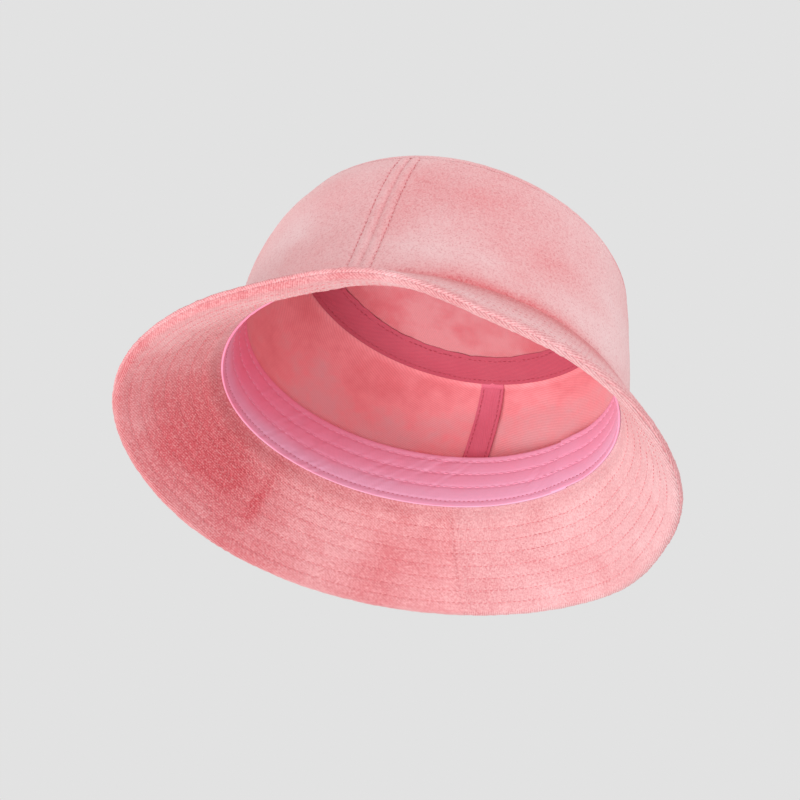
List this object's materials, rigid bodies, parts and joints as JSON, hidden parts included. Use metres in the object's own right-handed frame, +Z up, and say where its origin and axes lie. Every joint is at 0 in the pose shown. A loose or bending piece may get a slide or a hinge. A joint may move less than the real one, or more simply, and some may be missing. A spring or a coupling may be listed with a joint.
{
  "type": "bucket hat",
  "caption": "Soft terry bucket hat: tapered crown with a flat tip, sloping stitched two-layer brim, satin sweatband and taped inner seams, for wearing on the head.",
  "frame": {"origin": "centre of the hat's outline in plan, on the plane that the lowest point of the brim edge stands on", "axes": "+Z up through the crown tip, +X along the long axis of the head opening, side seams near +Y and -Y"},
  "size_m": [0.2856, 0.2612, 0.154],
  "materials": {
    "terry_crown": "pale pink terry, short loops, outside of the crown",
    "terry_brim": "pale pink terry, short loops, upper side of the brim",
    "terry_under": "pink terry, short loops, underside of the brim",
    "satin_band": "smooth pink woven band with a soft satin sheen",
    "seam_tape": "flat woven deep pink tape",
    "interlining": "off-white non-woven, hidden",
    "shell_thread": "pink polyester sewing thread",
    "band_thread": "light pink polyester sewing thread",
    "tape_thread": "deep pink polyester sewing thread"
  },
  "bodies": {
    "root": {"brim_interlining": "interlining", "brim_stitch_row_top_1": "shell_thread", "brim_stitch_row_top_2": "shell_thread", "brim_stitch_row_top_3": "shell_thread", "brim_stitch_row_top_4": "shell_thread", "brim_stitch_row_top_5": "shell_thread", "brim_stitch_row_top_6": "shell_thread", "brim_stitch_row_top_7": "shell_thread", "brim_stitch_row_under_1": "shell_thread", "brim_stitch_row_under_2": "shell_thread", "brim_stitch_row_under_3": "shell_thread", "brim_stitch_row_under_4": "shell_thread", "brim_stitch_row_under_5": "shell_thread", "brim_stitch_row_under_6": "shell_thread", "brim_stitch_row_under_7": "shell_thread", "brim_top_layer_a": "terry_brim", "brim_top_layer_b": "terry_brim", "brim_under_layer_a": "terry_under", "brim_under_layer_b": "terry_under", "crown_side_panel_a": "terry_crown", "crown_side_panel_b": "terry_crown", "crown_tip_panel": "terry_crown", "side_seam_tape_a": "seam_tape", "side_seam_tape_b": "seam_tape", "side_seam_topstitch_a_left": "shell_thread", "side_seam_topstitch_a_right": "shell_thread", "side_seam_topstitch_b_left": "shell_thread", "side_seam_topstitch_b_right": "shell_thread", "side_tape_stitch_a_left": "tape_thread", "side_tape_stitch_a_right": "tape_thread", "side_tape_stitch_b_left": "tape_thread", "side_tape_stitch_b_right": "tape_thread", "sweatband": "satin_band", "sweatband_interlining": "interlining", "sweatband_stitch_row_1": "band_thread", "sweatband_stitch_row_2": "band_thread", "sweatband_stitch_row_3": "band_thread", "sweatband_stitch_row_4": "band_thread", "tip_seam_tape": "seam_tape", "tip_tape_stitch_row_1": "tape_thread", "tip_tape_stitch_row_2": "tape_thread"}
  },
  "joints": []
}
